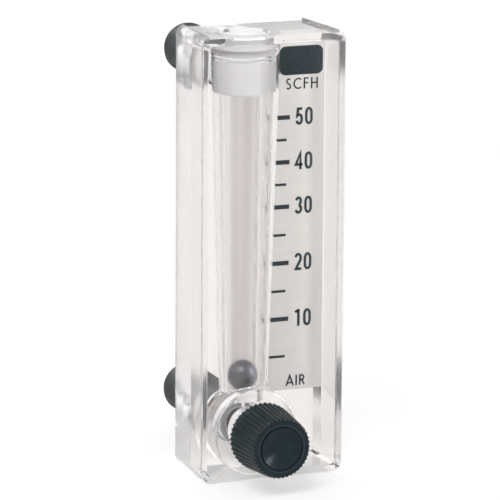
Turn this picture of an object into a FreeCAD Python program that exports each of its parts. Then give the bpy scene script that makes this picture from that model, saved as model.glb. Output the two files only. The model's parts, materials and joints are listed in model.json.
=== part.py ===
import FreeCAD, Part
import os

import Sketcher

# Panel-mount gas flowmeter with a metering valve, in millimetres.
# +Z is up, the knob faces -Y, and the rear mounting face lies in the plane y = 0.
# The origin is on that face, midway between the axes of the two rear ports.
# The tapered tube, both ports and the valve lie in the plane x = 0.

# Driving dimensions: name, value
SIZES = [
    # clear moulded body
    ("body_height", 86.0),
    ("front_width", 29.1),
    ("rear_width", 27.3),
    ("body_depth", 16.2),
    ("tube_offset", 3.4),
    ("corner_radius", 2.0),
    ("left_wall", 1.4),
    ("right_wall", 1.6),
    ("end_wall", 1.6),
    ("recess_depth", 7.0),
    ("recess_radius", 0.8),
    ("lip_height", 0.6),
    ("edge_round", 0.4),
    # ports in the rear face
    ("port_above_base", 9.47),
    ("port_below_top", 8.13),
    ("port_radius", 4.4),
    ("port_depth", 4.0),
    ("port_wall", 2.0),
    ("port_mouth_gap", 0.1),
    ("port_mouth_depth", 0.5),
    ("port_way_radius", 1.5),
    # rib around the tapered tube
    ("rib_bottom_radius", 4.85),
    ("rib_top_radius", 6.8),
    # tapered tube, its seat and its plug
    ("bore_depth", 9.2),
    ("bore_bottom_radius", 3.0),
    ("bore_top_radius", 3.8),
    ("seat_floor", 5.2),
    ("seat_height", 2.0),
    ("seat_hole_radius", 1.3),
    ("passage_radius", 1.3),
    ("float_radius", 2.9),
    ("float_gap", 0.02),
    ("plug_radius", 3.9),
    ("plug_length", 8.5),
    ("plug_head_radius", 4.7),
    ("plug_head_height", 2.4),
    ("plug_hole_radius", 2.0),
    ("plug_hole_height", 6.4),
    ("plug_groove_drop", 1.2),
    ("plug_slot_width", 0.8),
    ("plug_slot_depth", 0.5),
    ("tube_above_port", 4.0),
    # valve boss and the bores inside it
    ("boss_radius", 8.35),
    ("boss_proud", 0.5),
    ("valve_bore_radius", 4.6),
    ("chamber_radius", 3.5),
    ("valve_seat_length", 1.5),
    ("valve_seat_radius", 2.55),
    ("orifice_radius", 0.9),
    # bushing that carries the stem
    ("bushing_depth", 5.45),
    ("bushing_flange_radius", 5.3),
    ("bushing_flange", 1.3),
    ("bushing_neck_radius", 3.7),
    ("bushing_neck", 3.3),
    ("bushing_groove_drop", 3.9),
    ("gland_radius", 2.8),
    ("gland_drop", 0.85),
    # stem with its needle
    ("stem_radius", 2.0),
    ("stem_past_neck", 5.3),
    ("stem_seat_gap", 0.15),
    ("needle_radius", 0.82),
    ("needle_tip_radius", 0.35),
    ("needle_length", 1.2),
    ("clip_seat_gap", 0.3),
    ("clip_thickness", 0.3),
    ("clip_radius", 3.0),
    ("clip_groove_radius", 1.5),
    ("stem_groove_start", 0.35),
    ("running_gap", 0.07),
    # control knob
    ("knob_neck_overlap", 2.0),
    ("knob_length", 10.0),
    ("knob_rear_radius", 6.65),
    ("knob_front_radius", 5.85),
    ("knob_edge", 0.3),
    ("knob_hollow_radius", 4.2),
    ("knob_hollow_depth", 2.6),
    ("knob_ring_radius", 4.35),
    ("knob_ring_width", 0.35),
    ("knob_ring_depth", 0.3),
    ("dish_radius", 3.95),
    ("dish_sag", 0.6),
    ("flute_radius", 0.38),
    ("flute_count", 42),
    # threaded rear fittings
    ("fitting_radius", 4.86),
    ("fitting_bore_radius", 2.7),
    ("fitting_length", 22.1),
    ("fitting_relief", 0.6),
    ("fitting_chamfer", 0.7),
    ("thread_crest", 0.4),
    ("thread_depth", 0.5),
    # O-rings: half of the section's thickness
    ("port_ring_section", 0.45),
    ("plug_ring_section", 0.5),
    ("bushing_ring_section", 0.45),
    ("stem_ring_section", 0.55),
    ("ring_gap", 0.05),
    # scale and what is printed on it
    ("adhesive_thickness", 0.1),
    ("plate_thickness", 0.5),
    ("plate_gap", 0.15),
    ("plate_edge_gap", 0.3),
    ("plate_above_valve", 5.93),
    ("ink_thickness", 0.05),
    ("tick_major_height", 0.84),
    ("tick_minor_height", 0.48),
    ("tick_major_end", 9.1),
    ("tick_minor_end", 8.45),
    ("tick_margin", 0.1),
    ("tick_below_port", 9.27),
    ("tick_above_valve", 12.63),
    ("tick_high_share", 0.0927),
    ("tick_low_share", 0.1178),
    ("badge_margin", 0.3),
    ("badge_height", 5.5),
    ("badge_drop", 1.3),
    ("badge_radius", 1.2),
    ("badge_thickness", 0.1),
    # clearance between pieces that are fitted together and stay together
    ("seat_gap", 0.04),
]

# Places worked out from the driving dimensions, as expressions of the sheet
OUTLET_Z = "((Size.body_height - Size.port_above_base - Size.port_below_top) / 2)"
VALVE_Z = f"(-{OUTLET_Z})"
BASE_Z = f"({VALVE_Z} - Size.port_above_base)"
TOP_Z = f"({BASE_Z} + Size.body_height)"
TOP_FACE_Z = f"({TOP_Z} - Size.lip_height)"
RECESS_LOW_Z = f"({BASE_Z} + Size.end_wall)"
RECESS_HIGH_Z = f"({TOP_FACE_Z} - Size.end_wall)"
FRONT_LEFT_X = "(Size.tube_offset - Size.front_width / 2)"
FRONT_RIGHT_X = "(Size.tube_offset + Size.front_width / 2)"
REAR_LEFT_X = "(Size.tube_offset - Size.rear_width / 2)"
REAR_RIGHT_X = "(Size.tube_offset + Size.rear_width / 2)"
RECESS_LEFT_X = f"({FRONT_LEFT_X} + Size.left_wall)"
RECESS_RIGHT_X = f"({FRONT_RIGHT_X} - Size.right_wall)"
FLOOR_DEPTH = "(Size.body_depth - Size.recess_depth)"
SEAT_FLOOR_Z = f"({VALVE_Z} + Size.seat_floor)"
SEAT_TOP_Z = f"({SEAT_FLOOR_Z} + Size.seat_height)"
FLOAT_Z = (
    f"({SEAT_TOP_Z} + sqrt(Size.float_radius ^ 2 - Size.seat_hole_radius ^ 2) + Size.float_gap)"
)
PLUG_BOTTOM_Z = f"({OUTLET_Z} - Size.tube_above_port)"
PLUG_SHOULDER_Z = f"({PLUG_BOTTOM_Z} + Size.plug_length)"
PLUG_TOP_Z = f"({PLUG_SHOULDER_Z} + Size.plug_head_height)"
PLUG_GROOVE_HIGH_Z = f"({PLUG_SHOULDER_Z} - Size.plug_groove_drop)"
PLUG_GROOVE_LOW_Z = f"({PLUG_GROOVE_HIGH_Z} - 2 * Size.plug_ring_section - 2 * Size.ring_gap)"
PORT_MOUTH_RADIUS = "(Size.fitting_radius + Size.port_mouth_gap)"
BOSS_FRONT = "(Size.body_depth + Size.boss_proud)"
SEAT_REAR = "(Size.port_depth + Size.port_wall)"
CHAMBER_REAR = f"({SEAT_REAR} + Size.valve_seat_length)"
CHAMBER_FRONT = f"({BOSS_FRONT} - Size.bushing_depth)"
BUSHING_GROOVE_REAR = f"({BOSS_FRONT} - Size.bushing_groove_drop)"
BUSHING_GROOVE_FRONT = (
    f"({BUSHING_GROOVE_REAR} + 2 * Size.bushing_ring_section + 2 * Size.ring_gap)"
)
GLAND_FRONT = f"({BOSS_FRONT} - Size.gland_drop)"
STEM_GROOVE_REAR = f"({CHAMBER_FRONT} + Size.stem_groove_start)"
STEM_GROOVE_FRONT = f"({STEM_GROOVE_REAR} + 2 * Size.stem_ring_section + 2 * Size.ring_gap)"
STEM_SHOULDER = f"({CHAMBER_REAR} + Size.stem_seat_gap)"
CLIP_REAR = f"({CHAMBER_REAR} + Size.clip_seat_gap)"
PLUG_GROOVE_RADIUS = (
    "(Size.plug_radius + Size.seat_gap - 2 * Size.plug_ring_section - 2 * Size.ring_gap)"
)
BUSHING_GROOVE_RADIUS = (
    "(Size.valve_bore_radius - 2 * Size.bushing_ring_section - 2 * Size.ring_gap)"
)
STEM_GROOVE_RADIUS = "(Size.gland_radius - 2 * Size.stem_ring_section - 2 * Size.ring_gap)"
NECK_FRONT = f"({BOSS_FRONT} + Size.bushing_flange + Size.bushing_neck)"
STEM_END = f"({NECK_FRONT} + Size.stem_past_neck)"
KNOB_REAR = f"({NECK_FRONT} - Size.knob_neck_overlap)"
KNOB_FRONT = f"({KNOB_REAR} + Size.knob_length)"
PLATE_DEPTH = f"({FLOOR_DEPTH} + Size.adhesive_thickness)"
PRINT_DEPTH = f"({PLATE_DEPTH} + Size.plate_thickness)"
PLATE_TOP_Z = f"({RECESS_HIGH_Z} - Size.plate_edge_gap)"
PLATE_BOTTOM_Z = f"({VALVE_Z} + Size.plate_above_valve)"
PLATE_RIGHT_X = f"({RECESS_RIGHT_X} - Size.plate_edge_gap)"
PLATE_LEFT_TOP_X = "(Size.rib_top_radius + Size.plate_gap)"
PLATE_LEFT_LOW_X = "(Size.rib_bottom_radius + Size.plate_gap)"
BOSS_CLEAR = "(Size.boss_radius + Size.plate_gap)"
PLATE_NOTCH_X = f"sqrt({BOSS_CLEAR} ^ 2 - Size.plate_above_valve ^ 2)"
PLATE_NOTCH_Z = f"({VALVE_Z} + sqrt({BOSS_CLEAR} ^ 2 - {PLATE_LEFT_LOW_X} ^ 2))"
SCALE_TOP_Z = f"({OUTLET_Z} - Size.tick_below_port)"
SCALE_LENGTH = f"({SCALE_TOP_Z} - {VALVE_Z} - Size.tick_above_valve)"

# Two points closer than this are one point
TOUCH = 1e-4

# Every second line of the scale is a long one
MAJOR_EVERY = 2
TICKS_HIGH = 5
TICKS_LOW = 4

# Main ridges of the thread on each rear fitting
THREAD_GROOVES = 14

XY = "XY_Plane"
XZ = "XZ_Plane"

doc = FreeCAD.newDocument("Flowmeter")
sheet = doc.addObject("Spreadsheet::Sheet", "Size")
for line, (alias, value) in enumerate(SIZES, start=1):
    sheet.set(f"A{line}", alias)
    sheet.set(f"B{line}", str(value))
    sheet.setAlias(f"B{line}", alias)
doc.recompute()

NODES = []


def number(expression):
    """Value of an expression of the sheet."""
    return float(sheet.evalExpression(expression.replace("Size.", "")))


def new_body(label, x="0", y="0", z="0"):
    """Empty body of one sub-part, placed by three expressions."""
    body = doc.addObject("PartDesign::Body", label)
    place(body, x, y, z)
    NODES.append(body)
    body.Label = label
    return body


def place(item, x, y, z):
    item.setExpression("Placement.Base.x", x)
    item.setExpression("Placement.Base.y", y)
    item.setExpression("Placement.Base.z", z)


def new_sketch(body, name, plane, offset="0"):
    """Sketch on a plane of its own body; on XZ the offset runs towards -Y."""
    sketch = body.newObject("Sketcher::SketchObject", name)
    planes = [item for item in body.Origin.OriginFeatures if item.Role == plane]
    sketch.AttachmentSupport = [(planes[0], "")]
    sketch.MapMode = "FlatFace"
    sketch.setExpression("AttachmentOffset.Base.z", offset)
    return sketch


def pin(sketch, line, kind, expression):
    """Tie one coordinate of the start of a line to an expression."""
    if expression == "0":
        axis = -2 if kind == "DistanceX" else -1
        sketch.addConstraint(Sketcher.Constraint("PointOnObject", line, 1, axis))
        return
    value = number(expression)
    index = sketch.addConstraint(Sketcher.Constraint(kind, -1, 1, line, 1, value))
    sketch.setExpression(f"Constraints[{index}]", expression)


def polygon(sketch, corners):
    """Closed outline whose corners are pairs of expressions."""
    points = [FreeCAD.Vector(number(x), number(y), 0) for x, y in corners]
    count = len(points)
    first = sketch.GeometryCount
    for step in range(count):
        sketch.addGeometry(Part.LineSegment(points[step], points[(step + 1) % count]), False)
    for step in range(count):
        after = first + (step + 1) % count
        sketch.addConstraint(Sketcher.Constraint("Coincident", first + step, 2, after, 1))
    for step, (x, y) in enumerate(corners):
        pin(sketch, first + step, "DistanceX", x)
        pin(sketch, first + step, "DistanceY", y)


def circle(sketch, radius, x="0", y="0"):
    """Circle with its centre and radius tied to expressions."""
    centre = FreeCAD.Vector(number(x), number(y), 0)
    index = sketch.addGeometry(Part.Circle(centre, FreeCAD.Vector(0, 0, 1), number(radius)), False)
    tie = sketch.addConstraint(Sketcher.Constraint("Radius", index, number(radius)))
    sketch.setExpression(f"Constraints[{tie}]", radius)
    for kind, axis, expression in (("DistanceX", -2, x), ("DistanceY", -1, y)):
        if expression == "0":
            sketch.addConstraint(Sketcher.Constraint("PointOnObject", index, 3, axis))
        else:
            tie = sketch.addConstraint(
                Sketcher.Constraint(kind, -1, 1, index, 3, number(expression))
            )
            sketch.setExpression(f"Constraints[{tie}]", expression)


def feature(body, kind, name, sketch):
    item = body.newObject(f"PartDesign::{kind}", name)
    item.Profile = sketch
    sketch.Visibility = False
    return item


def revolve(body, name, sketch, kind="Revolution"):
    """Full turn of a sketch about its vertical axis."""
    item = feature(body, kind, name, sketch)
    item.ReferenceAxis = (sketch, ["V_Axis"])
    item.Angle = 360.0
    return item


def extrude(body, name, sketch, kind, length):
    item = feature(body, kind, name, sketch)
    item.setExpression("Length", length)
    return item


def turned(label, corners, x="0", y="0", z="0", plane=XY):
    """Sub-part turned about the Y axis (plane XY) or the Z axis (plane XZ)."""
    body = new_body(label, x, y, z)
    sketch = new_sketch(body, f"{label}_profile", plane)
    polygon(sketch, corners)
    revolve(body, f"{label}_turned", sketch)
    return body


def add_ring(label, radius, section, y, z, upright=False):
    """O-ring: a torus about the Y axis, or about the Z axis when upright."""
    ring = doc.addObject("Part::Torus", label)
    ring.Label = label
    ring.setExpression("Radius1", radius)
    ring.setExpression("Radius2", section)
    if not upright:
        ring.Placement = FreeCAD.Placement(
            FreeCAD.Vector(0, 0, 0), FreeCAD.Rotation(FreeCAD.Vector(1, 0, 0), 90)
        )
    place(ring, "0", y, z)
    NODES.append(ring)
    return ring


def edges_along(shape, direction, wanted):
    """Names of the straight edges near a direction that a test accepts."""
    names = []
    for index, edge in enumerate(shape.Edges, start=1):
        if len(edge.Vertexes) < 2:
            continue
        start = edge.Vertexes[0].Point
        run = edge.Vertexes[1].Point - start
        straight = abs(run.Length - edge.Length) < 1e-6
        if straight and abs(run.normalize().dot(direction)) > 0.9 and wanted(edge):
            names.append(f"Edge{index}")
    return names


def edges_at(shape, depth):
    """Names of the edges that lie in the plane y = depth."""
    return [
        f"Edge{index}"
        for index, edge in enumerate(shape.Edges, start=1)
        if max(abs(vertex.Y - depth) for vertex in edge.Vertexes) < TOUCH
        and abs(edge.CenterOfMass.y - depth) < TOUCH
    ]


def fillet(body, name, base, edges, radius):
    item = body.newObject("PartDesign::Fillet", name)
    item.Base = (base, edges)
    item.setExpression("Radius", radius)
    return item


def box_corners(left, right, low, high):
    return [(left, low), (right, low), (right, high), (left, high)]


# Clear body, moulded in one piece
def make_body():
    body = new_body("body")

    # block with drafted sides and rounded corners
    plan = new_sketch(body, "block_plan", XY, BASE_Z)
    polygon(
        plan,
        [
            (FRONT_LEFT_X, "-Size.body_depth"),
            (FRONT_RIGHT_X, "-Size.body_depth"),
            (REAR_RIGHT_X, "0"),
            (REAR_LEFT_X, "0"),
        ],
    )
    block = extrude(body, "block", plan, "Pad", "Size.body_height")
    doc.recompute()
    corners = edges_along(block.Shape, FreeCAD.Vector(0, 1, 0), lambda edge: True)
    fillet(body, "block_corners", block, corners, "Size.corner_radius")

    # open recess in the front
    recess_sketch = new_sketch(body, "recess_outline", XZ, "Size.body_depth")
    polygon(
        recess_sketch,
        box_corners(RECESS_LEFT_X, RECESS_RIGHT_X, RECESS_LOW_Z, RECESS_HIGH_Z),
    )
    recess = extrude(body, "recess", recess_sketch, "Pocket", "Size.recess_depth")
    doc.recompute()
    front_y = -number("Size.body_depth")
    inner_low = number(RECESS_LOW_Z)
    inner_high = number(RECESS_HIGH_Z)
    inner_left = number(RECESS_LEFT_X)
    inner_right = number(RECESS_RIGHT_X)

    def in_recess_corner(edge):
        middle = edge.CenterOfMass
        beside = min(abs(middle.x - inner_left), abs(middle.x - inner_right)) < TOUCH
        level = min(abs(middle.z - inner_low), abs(middle.z - inner_high)) < TOUCH
        return beside and level and middle.y > front_y

    inner = edges_along(recess.Shape, FreeCAD.Vector(0, 1, 0), in_recess_corner)
    hollow = fillet(body, "recess_corners", recess, inner, "Size.recess_radius")
    doc.recompute()
    fillet(body, "wall_rims", hollow, edges_at(hollow.Shape, front_y), "Size.edge_round")

    # top face sunk between the side walls
    top_sketch = new_sketch(body, "top_outline", XY, TOP_Z)
    polygon(
        top_sketch,
        [
            (f"{FRONT_LEFT_X} + Size.left_wall", "-Size.body_depth"),
            (f"{FRONT_RIGHT_X} - Size.right_wall", "-Size.body_depth"),
            (f"{REAR_RIGHT_X} - Size.right_wall", "0"),
            (f"{REAR_LEFT_X} + Size.left_wall", "0"),
        ],
    )
    extrude(body, "top_sunk", top_sketch, "Pocket", "Size.lip_height")

    # half-round rib around the tapered tube
    rib_sketch = new_sketch(body, "rib_profile", XZ, FLOOR_DEPTH)
    polygon(
        rib_sketch,
        [
            ("0", VALVE_Z),
            ("Size.rib_bottom_radius", VALVE_Z),
            ("Size.rib_bottom_radius", f"{VALVE_Z} + Size.boss_radius"),
            ("Size.rib_top_radius", RECESS_HIGH_Z),
            ("Size.rib_top_radius", TOP_FACE_Z),
            ("0", TOP_FACE_Z),
        ],
    )
    revolve(body, "rib", rib_sketch)

    # round boss for the valve
    boss_sketch = new_sketch(body, "boss_outline", XZ, FLOOR_DEPTH)
    circle(boss_sketch, "Size.boss_radius", "0", VALVE_Z)
    boss = extrude(body, "boss", boss_sketch, "Pad", f"{BOSS_FRONT} - {FLOOR_DEPTH}")
    doc.recompute()
    rim = edges_at(boss.Shape, -number(BOSS_FRONT))
    fillet(body, "boss_rim", boss, rim, "Size.edge_round")

    # plug hole, tapered tube, seat pocket and the way down to the valve
    tube_sketch = new_sketch(body, "tube_profile", XZ, "Size.bore_depth")
    polygon(
        tube_sketch,
        [
            ("0", f"{TOP_Z} + Size.lip_height"),
            ("Size.plug_head_radius + Size.seat_gap", f"{TOP_Z} + Size.lip_height"),
            ("Size.plug_head_radius + Size.seat_gap", PLUG_SHOULDER_Z),
            ("Size.plug_radius + Size.seat_gap", PLUG_SHOULDER_Z),
            ("Size.plug_radius + Size.seat_gap", PLUG_BOTTOM_Z),
            ("Size.bore_top_radius", PLUG_BOTTOM_Z),
            ("Size.bore_bottom_radius", SEAT_TOP_Z),
            ("Size.bore_bottom_radius", SEAT_FLOOR_Z),
            ("Size.passage_radius", SEAT_FLOOR_Z),
            ("Size.passage_radius", VALVE_Z),
            ("0", VALVE_Z),
        ],
    )
    revolve(body, "tube", tube_sketch, "Groove")

    # valve bore from the front and inlet port from the rear, on one axis
    valve_sketch = new_sketch(body, "valve_profile", XY, VALVE_Z)
    polygon(
        valve_sketch,
        [
            ("0", f"-{BOSS_FRONT} - Size.lip_height"),
            ("Size.valve_bore_radius", f"-{BOSS_FRONT} - Size.lip_height"),
            ("Size.valve_bore_radius", f"-{CHAMBER_FRONT}"),
            ("Size.chamber_radius", f"-{CHAMBER_FRONT}"),
            ("Size.chamber_radius", f"-{CHAMBER_REAR}"),
            ("Size.valve_seat_radius + Size.seat_gap", f"-{CHAMBER_REAR}"),
            ("Size.valve_seat_radius + Size.seat_gap", f"-{SEAT_REAR}"),
            ("Size.port_way_radius", f"-{SEAT_REAR}"),
            ("Size.port_way_radius", "-Size.port_depth"),
            ("Size.port_radius", "-Size.port_depth"),
            ("Size.port_radius", "-Size.port_mouth_depth"),
            (PORT_MOUTH_RADIUS, "-Size.port_mouth_depth"),
            (PORT_MOUTH_RADIUS, "Size.lip_height"),
            ("0", "Size.lip_height"),
        ],
    )
    revolve(body, "valve_way", valve_sketch, "Groove")

    # outlet port and its way into the plug hole
    outlet_sketch = new_sketch(body, "outlet_profile", XY, OUTLET_Z)
    polygon(
        outlet_sketch,
        [
            ("0", "-Size.bore_depth"),
            ("Size.port_way_radius", "-Size.bore_depth"),
            ("Size.port_way_radius", "-Size.port_depth"),
            ("Size.port_radius", "-Size.port_depth"),
            ("Size.port_radius", "-Size.port_mouth_depth"),
            (PORT_MOUTH_RADIUS, "-Size.port_mouth_depth"),
            (PORT_MOUTH_RADIUS, "Size.lip_height"),
            ("0", "Size.lip_height"),
        ],
    )
    revolve(body, "outlet_way", outlet_sketch, "Groove")
    return body


# Plug that closes the tube, with a slotted foot that stops the ball
def make_top_plug():
    groove = PLUG_GROOVE_RADIUS
    outer = "Size.plug_radius"
    body = turned(
        "top_plug",
        [
            ("Size.plug_hole_radius", PLUG_BOTTOM_Z),
            (outer, PLUG_BOTTOM_Z),
            (outer, PLUG_GROOVE_LOW_Z),
            (groove, PLUG_GROOVE_LOW_Z),
            (groove, PLUG_GROOVE_HIGH_Z),
            (outer, PLUG_GROOVE_HIGH_Z),
            (outer, f"{PLUG_SHOULDER_Z} + Size.seat_gap"),
            ("Size.plug_head_radius", f"{PLUG_SHOULDER_Z} + Size.seat_gap"),
            ("Size.plug_head_radius", PLUG_TOP_Z),
            ("0", PLUG_TOP_Z),
            ("0", f"{PLUG_BOTTOM_Z} + Size.plug_hole_height"),
            ("Size.plug_hole_radius", f"{PLUG_BOTTOM_Z} + Size.plug_hole_height"),
        ],
        y="-Size.bore_depth",
        plane=XZ,
    )
    side_sketch = new_sketch(body, "plug_side_hole", XZ)
    circle(side_sketch, "Size.port_way_radius", "0", OUTLET_Z)
    side = feature(body, "Pocket", "plug_side_way", side_sketch)
    side.Type = "ThroughAll"
    slot_sketch = new_sketch(body, "plug_slot_outline", XY, PLUG_BOTTOM_Z)
    polygon(
        slot_sketch,
        box_corners("-Size.plug_slot_width / 2", "Size.plug_slot_width / 2",
                    "-Size.plug_head_radius", "Size.plug_head_radius"),
    )
    slot = extrude(body, "plug_slot", slot_sketch, "Pocket", "Size.plug_slot_depth")
    slot.Reversed = True
    return body


def make_float_parts():
    ball = doc.addObject("Part::Sphere", "float_ball")
    ball.Label = "float_ball"
    ball.setExpression("Radius", "Size.float_radius")
    place(ball, "0", "-Size.bore_depth", FLOAT_Z)
    NODES.append(ball)
    outer = "Size.bore_bottom_radius - Size.seat_gap"
    turned(
        "float_seat",
        [
            ("Size.seat_hole_radius", f"{SEAT_FLOOR_Z} + Size.seat_gap"),
            (outer, f"{SEAT_FLOOR_Z} + Size.seat_gap"),
            (outer, SEAT_TOP_Z),
            ("Size.seat_hole_radius", SEAT_TOP_Z),
        ],
        y="-Size.bore_depth",
        plane=XZ,
    )


def make_valve_seat():
    front = f"-{CHAMBER_REAR} + Size.seat_gap"
    rear = f"-{SEAT_REAR} - Size.seat_gap"
    turned(
        "valve_seat",
        [
            ("Size.orifice_radius", front),
            ("Size.valve_seat_radius", front),
            ("Size.valve_seat_radius", rear),
            ("Size.orifice_radius", rear),
        ],
        z=VALVE_Z,
    )


# Bushing screwed into the boss, which guides and seals the stem
def make_valve_bushing():
    outer = "Size.valve_bore_radius - Size.seat_gap"
    thread = "Size.stem_radius + Size.running_gap"
    flange_rear = f"-{BOSS_FRONT} - Size.seat_gap"
    flange_front = f"-{BOSS_FRONT} - Size.bushing_flange"
    inner_end = f"-{CHAMBER_FRONT} - Size.seat_gap"
    turned(
        "valve_bushing",
        [
            ("Size.gland_radius", inner_end),
            ("Size.gland_radius", f"-{GLAND_FRONT}"),
            (thread, f"-{GLAND_FRONT}"),
            (thread, f"-{NECK_FRONT}"),
            ("Size.bushing_neck_radius", f"-{NECK_FRONT}"),
            ("Size.bushing_neck_radius", flange_front),
            ("Size.bushing_flange_radius", flange_front),
            ("Size.bushing_flange_radius", flange_rear),
            (outer, flange_rear),
            (outer, f"-{BUSHING_GROOVE_FRONT}"),
            (BUSHING_GROOVE_RADIUS, f"-{BUSHING_GROOVE_FRONT}"),
            (BUSHING_GROOVE_RADIUS, f"-{BUSHING_GROOVE_REAR}"),
            (outer, f"-{BUSHING_GROOVE_REAR}"),
            (outer, inner_end),
        ],
        z=VALVE_Z,
    )


# Needle stem with grooves for its clip and its seal
def make_valve_stem():
    stem = "Size.stem_radius"
    clip_front = f"-{CLIP_REAR} - Size.clip_thickness - Size.seat_gap"
    clip_rear = f"-{CLIP_REAR} + Size.seat_gap"
    turned(
        "valve_stem",
        [
            ("0", f"-{STEM_END}"),
            (stem, f"-{STEM_END}"),
            (stem, f"-{STEM_GROOVE_FRONT}"),
            (STEM_GROOVE_RADIUS, f"-{STEM_GROOVE_FRONT}"),
            (STEM_GROOVE_RADIUS, f"-{STEM_GROOVE_REAR}"),
            (stem, f"-{STEM_GROOVE_REAR}"),
            (stem, clip_front),
            ("Size.clip_groove_radius", clip_front),
            ("Size.clip_groove_radius", clip_rear),
            (stem, clip_rear),
            (stem, f"-{STEM_SHOULDER}"),
            ("Size.needle_radius", f"-{STEM_SHOULDER}"),
            ("Size.needle_tip_radius", f"-{STEM_SHOULDER} + Size.needle_length"),
            ("0", f"-{STEM_SHOULDER} + Size.needle_length"),
        ],
        z=VALVE_Z,
    )


def make_stem_clip():
    inner = "Size.clip_groove_radius + Size.seat_gap"
    front = f"-{CLIP_REAR} - Size.clip_thickness"
    turned(
        "stem_clip",
        [
            (inner, front),
            ("Size.clip_radius", front),
            ("Size.clip_radius", f"-{CLIP_REAR}"),
            (inner, f"-{CLIP_REAR}"),
        ],
        z=VALVE_Z,
    )


# Tapered knob with a dished face and straight flutes
def make_control_knob():
    front = f"-{KNOB_FRONT}"
    hub = "Size.stem_radius + Size.seat_gap"
    hollow_end = f"-{KNOB_REAR} - Size.knob_hollow_depth"
    hub_end = f"-{STEM_END} - Size.seat_gap"
    ring_inner = "Size.knob_ring_radius - Size.knob_ring_width"
    body = turned(
        "control_knob",
        [
            ("0", front),
            (ring_inner, front),
            (ring_inner, f"{front} + Size.knob_ring_depth"),
            ("Size.knob_ring_radius", f"{front} + Size.knob_ring_depth"),
            ("Size.knob_ring_radius", front),
            ("Size.knob_front_radius - Size.knob_edge", front),
            ("Size.knob_front_radius", f"{front} + Size.knob_edge"),
            ("Size.knob_rear_radius", f"-{KNOB_REAR} - Size.knob_edge"),
            ("Size.knob_rear_radius - Size.knob_edge", f"-{KNOB_REAR}"),
            ("Size.knob_hollow_radius", f"-{KNOB_REAR}"),
            ("Size.knob_hollow_radius", hollow_end),
            (hub, hollow_end),
            (hub, hub_end),
            ("0", hub_end),
        ],
        z=VALVE_Z,
    )

    # shallow dish in the front face, a cap of a large sphere
    ball_radius = "((Size.dish_radius ^ 2 + Size.dish_sag ^ 2) / (2 * Size.dish_sag))"
    dish = body.newObject("PartDesign::SubtractiveSphere", "knob_dish")
    dish.setExpression("Radius", ball_radius)
    place(dish, "0", f"{front} + Size.dish_sag - {ball_radius}", "0")

    # one round flute that follows the taper past both ends, repeated around the axis
    run = "(Size.knob_length + 2 * Size.knob_edge)"
    slope = f"atan((Size.knob_rear_radius - Size.knob_front_radius) / {run})"
    flute = body.newObject("PartDesign::SubtractiveCylinder", "flute")
    flute.Placement = FreeCAD.Placement(
        FreeCAD.Vector(0, 0, 0), FreeCAD.Rotation(FreeCAD.Vector(1, 0, 0), 90)
    )
    flute.setExpression("Radius", "Size.flute_radius")
    flute.setExpression("Height", f"{run} / cos({slope})")
    flute.setExpression("Placement.Rotation.Angle", f"90 deg + {slope}")
    place(flute, "0", f"-({KNOB_REAR} - Size.knob_edge)", "Size.knob_rear_radius")
    doc.recompute()
    pattern = body.newObject("PartDesign::PolarPattern", "flutes")
    pattern.Originals = [flute]
    axes = [item for item in body.Origin.OriginFeatures if item.Role == "Y_Axis"]
    pattern.Axis = (axes[0], [""])
    pattern.Angle = 360
    pattern.setExpression("Occurrences", "Size.flute_count")
    body.Tip = pattern
    return body


def thread_outline():
    """Corners of the thread's main ridges: flat crests with a V groove between each two."""
    start = "Size.fitting_relief"
    span = "(Size.fitting_length - Size.fitting_relief - Size.fitting_chamfer)"
    pitch = f"({span} - Size.thread_crest) / {THREAD_GROOVES}"
    root = "Size.fitting_radius - Size.thread_depth"
    corners = []
    for groove in range(THREAD_GROOVES + 1):
        crest = f"{start} + {groove} * {pitch}"
        corners.append(("Size.fitting_radius", crest))
        corners.append(("Size.fitting_radius", f"{crest} + Size.thread_crest"))
        if groove < THREAD_GROOVES:
            corners.append((root, f"{crest} + Size.thread_crest / 2 + {pitch} / 2"))
    return corners


# Threaded stub with a plain spigot in the port
def make_fitting(label, height):
    inner_end = "-Size.port_depth + 2 * Size.port_ring_section + Size.ring_gap"
    spigot = "Size.port_radius - Size.seat_gap"
    rim = "Size.fitting_radius - Size.fitting_chamfer"
    turned(
        label,
        [
            ("Size.fitting_bore_radius", inner_end),
            (spigot, inner_end),
            (spigot, "Size.fitting_relief"),
            *thread_outline(),
            (rim, "Size.fitting_length"),
            ("Size.fitting_bore_radius", "Size.fitting_length"),
        ],
        z=height,
    )


def make_o_rings():
    port_ring_y = "-Size.port_depth + Size.port_ring_section + Size.ring_gap / 2"
    port_ring_radius = "Size.port_radius - Size.ring_gap - Size.port_ring_section"
    for label, height in (("inlet_o_ring", VALVE_Z), ("outlet_o_ring", OUTLET_Z)):
        add_ring(label, port_ring_radius, "Size.port_ring_section", port_ring_y, height)
    add_ring("plug_o_ring",
             f"{PLUG_GROOVE_RADIUS} + Size.ring_gap + Size.plug_ring_section",
             "Size.plug_ring_section", "-Size.bore_depth",
             f"({PLUG_GROOVE_LOW_Z} + {PLUG_GROOVE_HIGH_Z}) / 2", upright=True)
    add_ring("bushing_o_ring",
             "Size.valve_bore_radius - Size.ring_gap - Size.bushing_ring_section",
             "Size.bushing_ring_section",
             f"-({BUSHING_GROOVE_REAR} + {BUSHING_GROOVE_FRONT}) / 2", VALVE_Z)
    add_ring("stem_o_ring",
             "Size.gland_radius - Size.ring_gap - Size.stem_ring_section",
             "Size.stem_ring_section",
             f"-({STEM_GROOVE_REAR} + {STEM_GROOVE_FRONT}) / 2", VALVE_Z)


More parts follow.
